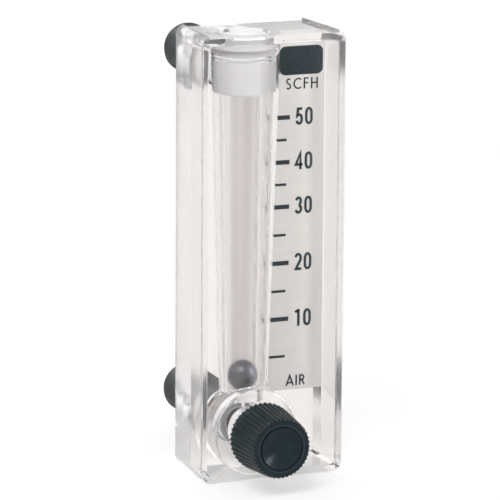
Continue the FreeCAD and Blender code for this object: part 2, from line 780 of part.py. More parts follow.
def plate_outline(inset):
    """Corners of the scale: it follows the foot of the rib and clears the boss."""
    return [
        (f"{PLATE_LEFT_LOW_X} + {inset}", f"{PLATE_NOTCH_Z} + {inset}"),
        (f"{PLATE_NOTCH_X} + {inset}", f"{PLATE_BOTTOM_Z} + {inset}"),
        (f"{PLATE_RIGHT_X} - {inset}", f"{PLATE_BOTTOM_Z} + {inset}"),
        (f"{PLATE_RIGHT_X} - {inset}", f"{PLATE_TOP_Z} - {inset}"),
        (f"{PLATE_LEFT_TOP_X} + {inset}", f"{PLATE_TOP_Z} - {inset}"),
    ]


def make_scale():
    film = new_body("scale_adhesive")
    film_sketch = new_sketch(film, "adhesive_outline", XZ, FLOOR_DEPTH)
    polygon(film_sketch, plate_outline("Size.plate_edge_gap"))
    extrude(film, "adhesive", film_sketch, "Pad", "Size.adhesive_thickness")

    plate = new_body("scale_plate")
    plate_sketch = new_sketch(plate, "plate_sketch", XZ, PLATE_DEPTH)
    polygon(plate_sketch, plate_outline("0"))
    extrude(plate, "plate", plate_sketch, "Pad", "Size.plate_thickness")


def plate_left_at(height):
    """Left edge of the scale at a height."""
    rise = f"(({height} - {PLATE_NOTCH_Z}) / ({PLATE_TOP_Z} - {PLATE_NOTCH_Z}))"
    return f"{PLATE_LEFT_LOW_X} + ({PLATE_LEFT_TOP_X} - {PLATE_LEFT_LOW_X}) * {rise}"


def tick_heights():
    """Height of each line of the scale, from the top line down, in shares of its length."""
    shares = [f"{step} * Size.tick_high_share" for step in range(TICKS_HIGH)]
    last_high = shares[-1]
    for step in range(1, TICKS_LOW + 1):
        shares.append(f"{last_high} + {step} * Size.tick_low_share")
    shares.append("1")
    return [f"({SCALE_TOP_Z} - ({share}) * {SCALE_LENGTH})" for share in shares]


def make_graduations():
    marks = []
    for step, height in enumerate(tick_heights()):
        size = "minor" if step % MAJOR_EVERY else "major"
        left = f"({plate_left_at(height)} + Size.tick_margin)"
        mark = doc.addObject("Part::Box", f"tick_{step}")
        mark.setExpression("Length", f"Size.tick_{size}_end - {left}")
        mark.setExpression("Width", "Size.ink_thickness")
        mark.setExpression("Height", f"Size.tick_{size}_height")
        low = f"{height} - Size.tick_{size}_height / 2"
        place(mark, left, f"-{PRINT_DEPTH} - Size.ink_thickness", low)
        marks.append(mark)
    group = doc.addObject("Part::Compound", "scale_graduations")
    group.Label = "scale_graduations"
    group.Links = marks
    NODES.append(group)


def make_badge():
    badge = new_body("badge_plate")
    sketch = new_sketch(badge, "badge_outline", XZ, PRINT_DEPTH)
    right = f"{PLATE_RIGHT_X} - Size.badge_margin"
    high = f"{PLATE_TOP_Z} - Size.badge_drop"
    low = f"{high} - Size.badge_height"
    polygon(sketch, box_corners(PLATE_LEFT_TOP_X, right, low, high))
    pad = extrude(badge, "badge", sketch, "Pad", "Size.badge_thickness")
    doc.recompute()
    corners = edges_along(pad.Shape, FreeCAD.Vector(0, 1, 0), lambda edge: True)
    fillet(badge, "badge_corners", pad, corners, "Size.badge_radius")


make_body()
make_top_plug()
make_float_parts()
make_valve_seat()
make_valve_bushing()
make_valve_stem()
make_stem_clip()
make_control_knob()
make_fitting("inlet_fitting", VALVE_Z)
make_fitting("outlet_fitting", OUTLET_Z)
make_o_rings()
make_scale()
make_graduations()
make_badge()
doc.recompute()

for item in doc.Objects:
    if "Invalid" in item.State or "Error" in item.State:
        raise RuntimeError(f"{item.Name} failed: {item.State}")
for node in NODES:
    if node.Shape.isNull() or not node.Shape.isValid():
        raise RuntimeError(f"{node.Label} has no valid shape")

os.makedirs("parts", exist_ok=True)
for node in NODES:
    node.Shape.exportStep(f"parts/{node.Label}.step")
    print(f"{node.Label}: {len(node.Shape.Solids)} solid, {node.Shape.Volume:.1f} mm3")
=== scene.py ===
import json
import math

import bmesh
import bpy
from mathutils import Matrix, Vector


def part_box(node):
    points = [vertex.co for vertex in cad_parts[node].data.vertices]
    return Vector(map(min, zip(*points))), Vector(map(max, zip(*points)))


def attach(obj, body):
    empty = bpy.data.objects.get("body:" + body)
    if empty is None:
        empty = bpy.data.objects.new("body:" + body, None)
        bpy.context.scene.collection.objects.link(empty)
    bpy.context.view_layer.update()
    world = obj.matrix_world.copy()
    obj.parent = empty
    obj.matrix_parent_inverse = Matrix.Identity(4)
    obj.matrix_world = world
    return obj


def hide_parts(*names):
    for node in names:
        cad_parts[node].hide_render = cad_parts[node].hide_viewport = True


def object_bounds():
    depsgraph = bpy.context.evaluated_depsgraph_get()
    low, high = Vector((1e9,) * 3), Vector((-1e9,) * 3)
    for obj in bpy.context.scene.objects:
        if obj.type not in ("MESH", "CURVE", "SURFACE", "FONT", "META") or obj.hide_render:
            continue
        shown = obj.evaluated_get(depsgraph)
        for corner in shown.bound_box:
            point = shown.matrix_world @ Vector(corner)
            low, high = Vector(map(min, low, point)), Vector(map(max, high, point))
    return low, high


# Looks of a panel-mount gas flowmeter. Lengths are in metres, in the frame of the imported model:
# +Z up, the knob towards -Y, the rear mounting face in the plane y = 0.

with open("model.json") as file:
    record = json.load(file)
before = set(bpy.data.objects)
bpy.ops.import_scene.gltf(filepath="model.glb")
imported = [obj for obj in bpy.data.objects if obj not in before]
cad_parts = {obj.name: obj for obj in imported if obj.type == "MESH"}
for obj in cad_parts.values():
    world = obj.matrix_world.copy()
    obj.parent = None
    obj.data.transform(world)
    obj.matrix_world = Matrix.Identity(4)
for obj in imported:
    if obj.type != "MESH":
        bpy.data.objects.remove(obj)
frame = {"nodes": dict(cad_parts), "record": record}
cad_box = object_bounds()
nodes = frame["nodes"]

MM = 0.001
TURN = 2 * math.pi
SHARP_ANGLE = math.radians(35)


# Camera, solved on the corners of the body in the photograph
VIEW_AZIMUTH = math.radians(21.809)
VIEW_ELEVATION = math.radians(12.278)
VIEW_ROLL = math.radians(0.358)
VIEW_DISTANCE = 714.965 * MM
VIEW_RIGHT = 2.160 * MM
VIEW_UP = -0.341 * MM
VIEW_TARGET = Vector((3.4, -10.0, -0.67)) * MM
FOCAL_PIXELS = 3761.19
IMAGE_PIXELS = 500
SENSOR_WIDTH = 36.0


def add_camera():
    ahead = Vector((
        math.sin(VIEW_AZIMUTH) * math.cos(VIEW_ELEVATION),
        math.cos(VIEW_AZIMUTH) * math.cos(VIEW_ELEVATION),
        -math.sin(VIEW_ELEVATION),
    ))
    level = Vector((math.cos(VIEW_AZIMUTH), -math.sin(VIEW_AZIMUTH), 0))
    upright = level.cross(ahead)
    right = math.cos(VIEW_ROLL) * level + math.sin(VIEW_ROLL) * upright
    up = -math.sin(VIEW_ROLL) * level + math.cos(VIEW_ROLL) * upright
    data = bpy.data.cameras.new("camera")
    data.sensor_width = SENSOR_WIDTH
    data.lens = FOCAL_PIXELS / IMAGE_PIXELS * SENSOR_WIDTH
    data.clip_start = 0.01
    data.clip_end = 100.0
    camera = bpy.data.objects.new("camera", data)
    bpy.context.collection.objects.link(camera)
    place = VIEW_TARGET - VIEW_DISTANCE * ahead - VIEW_RIGHT * right - VIEW_UP * up
    camera.matrix_world = Matrix((
        (right.x, up.x, -ahead.x, place.x),
        (right.y, up.y, -ahead.y, place.y),
        (right.z, up.z, -ahead.z, place.z),
        (0, 0, 0, 1),
    ))
    bpy.context.scene.camera = camera


# Light: an even sky for matt surfaces, a soft sun from the upper left, two lamps that only
# add highlights, and for gloss and glass a white studio with a soft grey panel
SKY_STRENGTH = 0.62
SUN_STRENGTH = 1.5
SUN_ANGLE = math.radians(28)
SUN_FROM = Vector((-0.50, -0.55, 0.95))
LAMP_ANGLE = math.radians(14)
LAMPS = {
    "right_lamp": (0.9, Vector((0.74, -0.66, 0.04))),
    "upper_lamp": (1.7, Vector((0.75, -0.53, 0.42))),
}
PANEL_DARKNESS = 0.3
PANEL_BEHIND = (-0.55, -0.95)
PANEL_LOW = (0.35, 0.0)
WHITE = (1, 1, 1, 1)
FLOOR_GLOW = 0.5
FLOOR_GLOW_LEVEL = 1.1
FLOOR_RADIUS = 3.0


class Nodes:
    """Small helper that adds and joins shader nodes."""

    def __init__(self, tree):
        self.tree = tree
        tree.nodes.clear()

    def add(self, kind, **inputs):
        node = self.tree.nodes.new(kind)
        for name, value in inputs.items():
            socket = node.inputs[name.replace("_", " ")]
            self.feed(socket, value)
        return node

    def feed(self, socket, value):
        if isinstance(value, bpy.types.NodeSocket):
            self.tree.links.new(value, socket)
        else:
            socket.default_value = value

    def math(self, operation, first, second=0.0):
        node = self.tree.nodes.new("ShaderNodeMath")
        node.operation = operation
        self.feed(node.inputs[0], first)
        self.feed(node.inputs[1], second)
        return node.outputs[0]

    def map(self, value, low, high, start=0.0, end=1.0):
        """Value from low to high turned into start to end, with a smooth step."""
        node = self.tree.nodes.new("ShaderNodeMapRange")
        node.interpolation_type = "SMOOTHSTEP"
        self.feed(node.inputs["Value"], value)
        self.feed(node.inputs["From Min"], low)
        self.feed(node.inputs["From Max"], high)
        self.feed(node.inputs["To Min"], start)
        self.feed(node.inputs["To Max"], end)
        return node.outputs["Result"]

    def position(self):
        """X, Y and Z in the object's own frame."""
        source = self.add("ShaderNodeTexCoord").outputs["Object"]
        return tuple(self.add("ShaderNodeSeparateXYZ", Vector=source).outputs)

    def noise(self, scale, stretch=(1, 1, 1), detail=3.0):
        source = self.add("ShaderNodeTexCoord").outputs["Object"]
        place = self.add("ShaderNodeMapping", Vector=source, Scale=stretch).outputs["Vector"]
        node = self.add("ShaderNodeTexNoise", Vector=place, Scale=scale, Detail=detail)
        return node.outputs["Fac"]

    def away(self, value, middle):
        return self.math("ABSOLUTE", self.math("SUBTRACT", value, middle))

    def distance(self, first, second):
        """Distance from an axis, out of two coordinates."""
        squares = self.math("ADD", self.both(first, first), self.both(second, second))
        return self.math("SQRT", squares)

    def within(self, value, reach, edge):
        """1 up to a reach, fading to 0 over the edge."""
        return self.map(value, reach, reach + edge, 1.0, 0.0)

    def both(self, first, second):
        return self.math("MULTIPLY", first, second)

    def other(self, mask):
        return self.math("SUBTRACT", 1.0, mask)

    def plus(self, value, mask, amount):
        """Value raised by an amount where the mask is 1."""
        return self.math("ADD", value, self.both(mask, amount))

    def blend(self, factor, first, second):
        node = self.tree.nodes.new("ShaderNodeMix")
        node.data_type = "RGBA"
        self.feed(node.inputs["Factor"], factor)
        self.feed(node.inputs[6], first)
        self.feed(node.inputs[7], second)
        return node.outputs[2]

    def mottle(self, grain, first, second):
        """Two colours that change places with a noise."""
        return self.blend(self.map(grain, 0.3, 0.7), first, second)

    def bump(self, height, distance, strength):
        node = self.add("ShaderNodeBump", Strength=strength, Distance=distance, Height=height)
        return node.outputs["Normal"]

    def mix(self, factor, first, second):
        """Blend of two shaders."""
        node = self.add("ShaderNodeMixShader", Fac=factor)
        self.tree.links.new(first.outputs[0], node.inputs[1])
        self.tree.links.new(second.outputs[0], node.inputs[2])
        return node


def mirrored(make, path):
    """1 on rays that gloss or glass sends on, as long as they have met no matt surface."""
    seen = make.math("MAXIMUM", path.outputs["Is Glossy Ray"], path.outputs["Is Transmission Ray"])
    return make.both(seen, make.math("LESS_THAN", path.outputs["Diffuse Depth"], 0.5))


def add_world():
    world = bpy.data.worlds.new("studio")
    bpy.context.scene.world = world
    world.use_nodes = True
    make = Nodes(world.node_tree)
    path = make.add("ShaderNodeLightPath")
    direction = make.add("ShaderNodeTexCoord").outputs["Generated"]
    split = make.add("ShaderNodeSeparateXYZ", Vector=direction)
    # a grey panel low behind the camera, for gloss and glass
    behind = make.map(split.outputs["Y"], *PANEL_BEHIND)
    low = make.map(split.outputs["Z"], *PANEL_LOW)
    studio = make.other(make.both(make.both(behind, low), PANEL_DARKNESS))
    # a matt surface gets the sky, also through clear plastic
    mirror = mirrored(make, path)
    level = make.plus(make.both(studio, mirror), make.other(mirror), SKY_STRENGTH)
    camera = path.outputs["Is Camera Ray"]
    level = make.math("ADD", make.both(level, make.other(camera)), camera)
    background = make.add("ShaderNodeBackground", Strength=level, Color=WHITE)
    # the sky's light is met by rays alone, which also go through clear plastic
    world.cycles.sampling_method = "NONE"
    output = make.add("ShaderNodeOutputWorld")
    world.node_tree.links.new(background.outputs[0], output.inputs["Surface"])


def add_sun(name, strength, angle, source, matt=True):
    data = bpy.data.lights.new(name, "SUN")
    data.energy = strength
    data.angle = angle
    sun = bpy.data.objects.new(name, data)
    bpy.context.collection.objects.link(sun)
    sun.rotation_mode = "QUATERNION"
    sun.rotation_quaternion = source.normalized().to_track_quat("Z", "Y")
    sun.visible_transmission = False
    sun.visible_diffuse = matt
    data.cycles.use_multiple_importance_sampling = not matt


def mesh_piece(name, mesh, material, body, smooth=True):
    """Object around a bmesh, riding on a body."""
    data = bpy.data.meshes.new(name)
    bmesh.ops.recalc_face_normals(mesh, faces=mesh.faces)
    mesh.to_mesh(data)
    mesh.free()
    data.materials.append(material)
    if smooth:
        data.shade_smooth()
    piece = bpy.data.objects.new(name, data)
    bpy.context.collection.objects.link(piece)
    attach(piece, body)
    return piece


def add_floor(material):
    mesh = bmesh.new()
    bmesh.ops.create_circle(mesh, cap_ends=True, segments=96, radius=FLOOR_RADIUS)
    data = bpy.data.meshes.new("floor")
    mesh.to_mesh(data)
    mesh.free()
    data.materials.append(material)
    floor = bpy.data.objects.new("floor", data)
    floor.location.z = cad_box[0].z
    bpy.context.collection.objects.link(floor)


# Materials
BUMP_DISTANCE = 0.01 * MM


def new_material(name):
    material = bpy.data.materials.new(name)
    material.use_nodes = True
    return material, Nodes(material.node_tree)


def finish_material(material, make, shader):
    output = make.add("ShaderNodeOutputMaterial")
    material.node_tree.links.new(shader.outputs[0], output.inputs["Surface"])
    return material


def principled(make, **inputs):
    return make.add("ShaderNodeBsdfPrincipled", **inputs)


def pale_floor():
    material, make = new_material("pale_floor")
    grain = make.noise(3.0)
    colour = make.blend(grain, (0.96, 0.96, 0.96, 1), (0.98, 0.98, 0.98, 1))
    matt = make.add("ShaderNodeBsdfDiffuse", Color=colour)
    glow = make.add("ShaderNodeEmission", Color=WHITE, Strength=FLOOR_GLOW_LEVEL)
    path = make.add("ShaderNodeLightPath")
    seen = make.math("MAXIMUM", mirrored(make, path), path.outputs["Is Camera Ray"])
    return finish_material(material, make, make.mix(make.both(seen, FLOOR_GLOW), matt, glow))


# Holes of the body with a machined wall, which looks frosted; the rest is moulded
HOLE_EDGE = 0.15 * MM
PORT_HEIGHT = 34.2 * MM
PORT_WALL = 4.85 * MM
PORT_BOTTOM = -4.1 * MM
TUBE_AXIS = -9.2 * MM
TUBE_WALL = 3.85 * MM
TUBE_LOW = -27.0 * MM
VALVE_REAR = -6.0 * MM
PLUG_WALL = 4.9 * MM
PLUG_BOTTOM = 30.2 * MM


def machined_masks(make):
    """1 on the walls of the ports, of the valve's bore and of the plug's hole; then the tube."""
    x, y, z = make.position()
    level = make.math("SUBTRACT", make.math("ABSOLUTE", z), PORT_HEIGHT)
    narrow = make.within(make.distance(x, level), PORT_WALL, HOLE_EDGE)
    rear = make.map(y, PORT_BOTTOM - HOLE_EDGE, PORT_BOTTOM)
    low = make.map(z, 0.0, -HOLE_EDGE)
    front = make.map(y, VALVE_REAR, VALVE_REAR - HOLE_EDGE)
    ports = make.both(narrow, make.math("MAXIMUM", rear, make.both(low, front)))
    radius = make.distance(x, make.math("SUBTRACT", y, TUBE_AXIS))
    top = make.map(z, PLUG_BOTTOM - HOLE_EDGE, PLUG_BOTTOM)
    plug = make.both(make.within(radius, PLUG_WALL, HOLE_EDGE), top)
    height = make.both(make.map(z, TUBE_LOW, TUBE_LOW + HOLE_EDGE), make.other(top))
    tube = make.both(make.within(radius, TUBE_WALL, HOLE_EDGE), height)
    return make.math("MAXIMUM", ports, plug), tube


# Clear body: moulded walls, machined holes, the tube's wall with a band of painted shade, and the
# two outer sides
BODY_TINT = (0.89, 0.865, 0.85, 1)
BODY_CLEAR = 0.97
BODY_ROUGHNESS = (0.004, 0.02)
BODY_SHADOW = (0.96, 0.96, 0.96, 1)
MACHINED_TINT = (0.98, 0.98, 1.0, 1)
MACHINED_CLEAR = 0.85
MACHINED_ROUGHNESS = 0.2
# painted shade: the tube's wall is painted dark in an upright band a little towards -X of its axis,
# fading lighter towards its sides
TUBE_PAINTED_SHADE = (0.47, 0.435, 0.44, 1)
TUBE_SHADE_EDGE = (0.97, 0.95, 0.94, 1)
TUBE_DARKEST = -0.8 * MM
TUBE_CORE = 0.2 * MM
TUBE_FADE = 2.2 * MM
TUBE_HAZE = 0.06
TUBE_ROUGHNESS = 0.2
SIDE_MIDDLE = 3.4 * MM
SIDE_REACH = 13.3 * MM
SIDE_ROUGHNESS = 0.16


def side_mask(make):
    """1 on the two outer side faces, which have a fine mould texture."""
    away = make.away(make.position()[0], SIDE_MIDDLE)
    normal = make.add("ShaderNodeTexCoord").outputs["Normal"]
    facing = make.add("ShaderNodeSeparateXYZ", Vector=normal).outputs["X"]
    sideways = make.map(make.math("ABSOLUTE", facing), 0.8, 0.95)
    return make.both(make.map(away, SIDE_REACH, SIDE_REACH + HOLE_EDGE), sideways)


def body_plastic():
    """Clear moulding with fine upright flow lines, frosted machined holes and painted shade down
    the tube's wall.
    """
    material, make = new_material("clear_plastic")
    flow = make.noise(600.0, (1, 1, 0.03), 2.0)
    machined, tube = machined_masks(make)
    clear = make.map(machined, 0.0, 1.0, BODY_CLEAR, MACHINED_CLEAR)
    clear = make.plus(clear, tube, -TUBE_HAZE)
    roughness = make.map(make.noise(90.0), 0.35, 0.75, *BODY_ROUGHNESS)
    roughness = make.plus(roughness, machined, MACHINED_ROUGHNESS)
    roughness = make.plus(roughness, tube, TUBE_ROUGHNESS)
    roughness = make.plus(roughness, side_mask(make), SIDE_ROUGHNESS)
    # painted shade down the tube's wall, darkest a little towards -X of its axis
    off = make.away(make.position()[0], TUBE_DARKEST)
    bore = make.blend(make.map(off, TUBE_CORE, TUBE_FADE), TUBE_PAINTED_SHADE, TUBE_SHADE_EDGE)
    tint_and_shade = make.blend(tube, make.blend(machined, BODY_TINT, MACHINED_TINT), bore)
    glass = principled(
        make, Base_Color=tint_and_shade, Roughness=roughness, IOR=1.5, Transmission_Weight=clear,
        Normal=make.bump(flow, BUMP_DISTANCE, 0.08),
    )
    # shadows fall straight through it
    through = make.add("ShaderNodeBsdfTransparent", Color=BODY_SHADOW)
    shadow = make.add("ShaderNodeLightPath").outputs["Is Shadow Ray"]
    return finish_material(material, make, make.mix(shadow, glass, through))


def milk_plastic(name, deep, light, clear):
    """Milky moulding in contact with its hole: matt white that lets a little through."""
    material, make = new_material(name)
    cloud = make.noise(240.0, (1, 1, 0.15), 2.0)
    base = make.mottle(cloud, deep, light)
    milk = principled(
        make, Base_Color=base, Roughness=0.5, Specular_IOR_Level=0.2,
        Normal=make.bump(cloud, 2 * BUMP_DISTANCE, 0.3),
    )
    through = make.add("ShaderNodeBsdfTransparent", Color=(0.95, 0.95, 0.97, 1))
    return finish_material(material, make, make.mix(clear, milk, through))


SEALANT = (0.75, 0.76, 0.78, 1)
SEALANT_END = 2.8 * MM
SEALANT_EDGE = 0.2 * MM


def satin_moulding(name, colour, light, rough, grain_scale, gloss, sealed=False):
    """Moulded plastic or rubber with a fine spark-eroded grain.

    When sealed, the part inside the body and its first three threads outside carry white
    thread sealant.
    """
    material, make = new_material(name)
    grain = make.noise(grain_scale, detail=4.0)
    base = make.mottle(make.noise(220.0), colour, light)
    if sealed:
        seal = make.map(make.position()[1], SEALANT_END, SEALANT_END - SEALANT_EDGE)
        base = make.blend(seal, base, SEALANT)
    roughness = make.map(grain, 0.3, 0.7, *rough)
    normal = make.bump(grain, BUMP_DISTANCE, 0.5)
    return finish_material(
        material, make,
        principled(
            make, Base_Color=base, Roughness=roughness, Normal=normal, Specular_IOR_Level=gloss
        ),
    )


# Face of the knob: a rim, a ring painted lighter as painted light over the shade of its step, and a
# smoother dish
KNOB_FRONT = -28.6 * MM
KNOB_FRONT_EDGE = 0.2 * MM
KNOB_RING_RADIUS = 4.5 * MM
KNOB_RING_REACH = 0.15 * MM
DISH_RADIUS = 4.1 * MM
DISH_EDGE = 0.1 * MM
DISH_SMOOTHER = 0.14
TURNED_PITCH = 0.1 * MM
TURNED_HEIGHT = 0.25
KNOB_BLACK = (0.006, 0.013, 0.016, 1)
KNOB_BLACK_LIGHT = (0.011, 0.020, 0.024, 1)
# painted light: a lighter colour on a ring of the face, over the shade of its step
KNOB_RING_LIGHT = (0.022, 0.031, 0.036, 1)
KNOB_GLOSS = (0.78, 0.92, 1.0, 1)


def knob_plastic():
    """Satin black moulding with a bluish tone; the dish of its face shows fine turned rings, and a
    ring on the face is painted lighter: painted light.
    """
    material, make = new_material("black_plastic")
    grain = make.noise(3000.0, detail=4.0)
    x, y, z = make.position()
    radius = make.distance(x, make.math("ADD", z, PORT_HEIGHT))
    face = make.map(y, KNOB_FRONT + KNOB_FRONT_EDGE, KNOB_FRONT)
    dish = make.both(face, make.within(radius, DISH_RADIUS, DISH_EDGE))
    ring_light = make.within(make.away(radius, KNOB_RING_RADIUS), KNOB_RING_REACH, DISH_EDGE)
    base = make.mottle(make.noise(220.0), KNOB_BLACK, KNOB_BLACK_LIGHT)
    # painted light on the ring of the face
    base = make.blend(make.both(face, ring_light), base, KNOB_RING_LIGHT)
    roughness = make.plus(make.map(grain, 0.3, 0.7, 0.28, 0.38), dish, -DISH_SMOOTHER)
    turned = make.math("SINE", make.both(radius, TURN / TURNED_PITCH))
    normal = make.bump(
        make.plus(grain, make.both(dish, turned), TURNED_HEIGHT), BUMP_DISTANCE, 0.8
    )
    return finish_material(
        material, make,
        principled(
            make, Base_Color=base, Roughness=roughness, Normal=normal, Specular_IOR_Level=0.2,
            Specular_Tint=KNOB_GLOSS,
        ),
    )


# Along its +X edge, next to the body's right wall, the scale is painted darker between these two
# places: painted shade
SHADE_START = 12.0 * MM
SHADE_END = 14.6 * MM


def brushed_metal(name, colour, light, stretch, rough, edge_shade=None):
    """Bare metal with fine lines; a darker colour given for painted shade takes over along its +X
    edge.
    """
    material, make = new_material(name)
    lines = make.noise(2500.0, stretch, 4.0)
    base = make.mottle(lines, colour, light)
    # painted shade: the base turns darker along the +X edge when a shade colour is given
    if edge_shade is not None:
        base = make.blend(make.map(make.position()[0], SHADE_START, SHADE_END), base, edge_shade)
    roughness = make.map(make.noise(60.0), 0.3, 0.7, *rough)
    normal = make.bump(lines, 0.4 * BUMP_DISTANCE, 0.4)
    return finish_material(
        material, make,
        principled(make, Base_Color=base, Metallic=1.0, Roughness=roughness, Normal=normal),
    )


def printed_ink(name, colour, light):
    material, make = new_material(name)
    speckle = make.noise(1800.0, detail=2.0)
    base = make.blend(make.map(speckle, 0.35, 0.65), colour, light)
    normal = make.bump(speckle, 0.4 * BUMP_DISTANCE, 0.3)
    return finish_material(
        material, make,
        principled(
            make, Base_Color=base, Roughness=0.5, Normal=normal, Specular_IOR_Level=0.2
        ),
    )


# How far the grain of a metal is stretched out along its lines
EVEN = (1, 1, 1)
ALONG_X = (0.02, 1, 1)
ALONG_Y = (1, 0.05, 1)


def make_materials():
    return {
        "clear_plastic": body_plastic(),
        "plug_plastic": milk_plastic(
            "plug_plastic", (0.95, 0.95, 0.99, 1), (0.99, 0.99, 1.0, 1), 0.06
        ),
        "bushing_plastic": milk_plastic(
            "bushing_plastic", (0.86, 0.86, 0.90, 1), (0.93, 0.93, 0.96, 1), 0.06
        ),
        "seal_silicone": milk_plastic(
            "seal_silicone", (0.92, 0.92, 0.94, 1), (0.96, 0.96, 0.98, 1), 0.05
        ),
        "steel_ball": brushed_metal(
            "steel_ball", (0.065, 0.07, 0.095, 1), (0.10, 0.105, 0.135, 1), EVEN, (0.3, 0.36)
        ),
        "scale_metal": brushed_metal(
            "scale_metal", (0.48, 0.468, 0.452, 1), (0.495, 0.482, 0.466, 1), ALONG_X,
            # painted shade colour for the scale's +X edge, next to the body's right wall
            (0.5, 0.6), edge_shade=(0.39, 0.378, 0.367, 1),
        ),
        "scale_ink": printed_ink("scale_ink", (0.018, 0.027, 0.032, 1), (0.028, 0.038, 0.044, 1)),
        "badge_field": printed_ink(
            "badge_field", (0.011, 0.019, 0.023, 1), (0.016, 0.025, 0.030, 1)
        ),
        "adhesive": printed_ink("adhesive", (0.75, 0.75, 0.73, 1), (0.82, 0.82, 0.8, 1)),
        "black_plastic": knob_plastic(),
        "fitting_black": satin_moulding(
            "fitting_black", (0.030, 0.034, 0.036, 1), (0.050, 0.056, 0.060, 1),
            (0.3, 0.42), 2500.0, 0.5, sealed=True,
        ),
        "brass": brushed_metal(
            "brass", (0.65, 0.48, 0.22, 1), (0.75, 0.58, 0.3, 1), ALONG_Y, (0.25, 0.35)
        ),
        "spring_steel": brushed_metal(
            "spring_steel", (0.45, 0.45, 0.45, 1), (0.55, 0.55, 0.55, 1), EVEN, (0.3, 0.4)
        ),
        "seal_rubber": satin_moulding(
            "seal_rubber", (0.34, 0.34, 0.36, 1), (0.42, 0.42, 0.44, 1),
            (0.55, 0.7), 4000.0, 0.25,
        ),
    }


def dress_nodes(materials):
    slots = {part["node"]: part["material_slot"] for part in frame["record"]["subparts"]}
    for name, item in nodes.items():
        item.data.materials.clear()
        item.data.materials.append(materials[slots[name]])


def ring_mesh(rings):
    """Closed mesh through rings of points, the last ring joined to the first."""
    mesh = bmesh.new()
    rings = [[mesh.verts.new(point) for point in ring] for ring in rings]
    for step, ring in enumerate(rings):
        after = rings[(step + 1) % len(rings)]
        for side in range(len(ring)):
            beside = (side + 1) % len(ring)
            mesh.faces.new((ring[side], ring[beside], after[beside], after[side]))
    return mesh


def turned_mesh(centre_x, centre_y, profile):
    """Ring mesh about an upright axis; the profile is a closed list of radius and height."""
    angles = [TURN * side / PLUG_SIDES for side in range(PLUG_SIDES)]
    return ring_mesh([
        [
            (centre_x + radius * math.cos(angle), centre_y + radius * math.sin(angle), z)
            for angle in angles
        ]
        for radius, z in profile
    ])


# Plug and its ring, pressed against the wall of their hole as in use
PLUG_HOLE = 3.94 * MM
PLUG_HEAD_HOLE = 4.74 * MM
PLUG_SHOULDER = 38.7 * MM
PLUG_PRESS = 0.02 * MM
PLUG_INNER = 2.0 * MM
PLUG_TOP_WALL = 36.6 * MM
PLUG_DIMPLE = 1.4 * MM
RING_HALF_HEIGHT = 0.5 * MM
RING_INNER = 2.88 * MM
RING_STEPS = 16
PLUG_EDGE = 0.15 * MM
PLUG_TOP_EDGE = 0.2 * MM
PLUG_DIMPLE_DEPTH = 0.5 * MM
PLUG_AXIS_GAP = 0.01 * MM
PLUG_SIDES = 96


def flattened(value, power):
    """Power of a sine or cosine that keeps its sign, for a section pressed towards a box."""
    return math.copysign(abs(value) ** power, value)


def add_plug(plug_material, ring_material):
    low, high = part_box("top_plug")
    ring_low, ring_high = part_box("plug_o_ring")
    centre_x = (low.x + high.x) / 2
    centre_y = (low.y + high.y) / 2
    level = (ring_low.z + ring_high.z) / 2
    outer = PLUG_HOLE + PLUG_PRESS
    head = PLUG_HEAD_HOLE + PLUG_PRESS
    profile = [
        (PLUG_INNER, low.z),
        (outer - PLUG_EDGE, low.z),
        (outer, low.z + PLUG_EDGE),
        (outer, level - RING_HALF_HEIGHT),
        (RING_INNER, level - RING_HALF_HEIGHT),
        (RING_INNER, level + RING_HALF_HEIGHT),
        (outer, level + RING_HALF_HEIGHT),
        (outer, PLUG_SHOULDER),
        (head, PLUG_SHOULDER),
        (head, high.z - PLUG_TOP_EDGE),
        (head - PLUG_TOP_EDGE, high.z),
        (PLUG_DIMPLE, high.z),
        (PLUG_DIMPLE * 0.6, high.z - PLUG_DIMPLE_DEPTH),
        (PLUG_AXIS_GAP, high.z - PLUG_DIMPLE_DEPTH),
        (PLUG_AXIS_GAP, PLUG_TOP_WALL),
        (PLUG_INNER, PLUG_TOP_WALL),
    ]
    mesh = turned_mesh(centre_x, centre_y, profile)
    piece = mesh_piece("plug_pressed", mesh, plug_material, "housing")
    piece.data.set_sharp_from_angle(angle=SHARP_ANGLE)
    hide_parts("top_plug")
    middle = (outer + RING_INNER) / 2
    reach = (outer - RING_INNER) / 2
    section = []
    for step in range(RING_STEPS):
        angle = TURN * step / RING_STEPS
        across = reach * flattened(math.cos(angle), 0.55)
        along = RING_HALF_HEIGHT * 0.94 * flattened(math.sin(angle), 0.8)
        section.append((middle + across, level + along))
    mesh = turned_mesh(centre_x, centre_y, section)
    piece = mesh_piece("plug_ring_squeezed", mesh, ring_material, "housing")
    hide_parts("plug_o_ring")


# Threads of the rear fittings
THREAD_PITCH = 0.94 * MM
THREAD_DEPTH = 0.5 * MM
THREAD_START = 0.6 * MM
THREAD_ROWS = 8
THREAD_SIDES = 72
THREAD_FADE = 1.0 * MM
FITTING_BORE = 2.7 * MM
SPIGOT_RADIUS = 4.36 * MM


def thread_radius(crest, along, angle, length):
    """Radius of a 60 degree thread with slightly flattened crests and roots."""
    phase = ((along / THREAD_PITCH) - angle / TURN) % 1.0
    rise = min(1.0, max(0.0, 1.25 * abs(2 * phase - 1) - 0.1))
    fade = min(1.0, (length - along) / THREAD_FADE)
    root = crest - THREAD_DEPTH
    end_cut = (1 - fade) * THREAD_DEPTH
    return min(crest - end_cut, root + THREAD_DEPTH * rise)


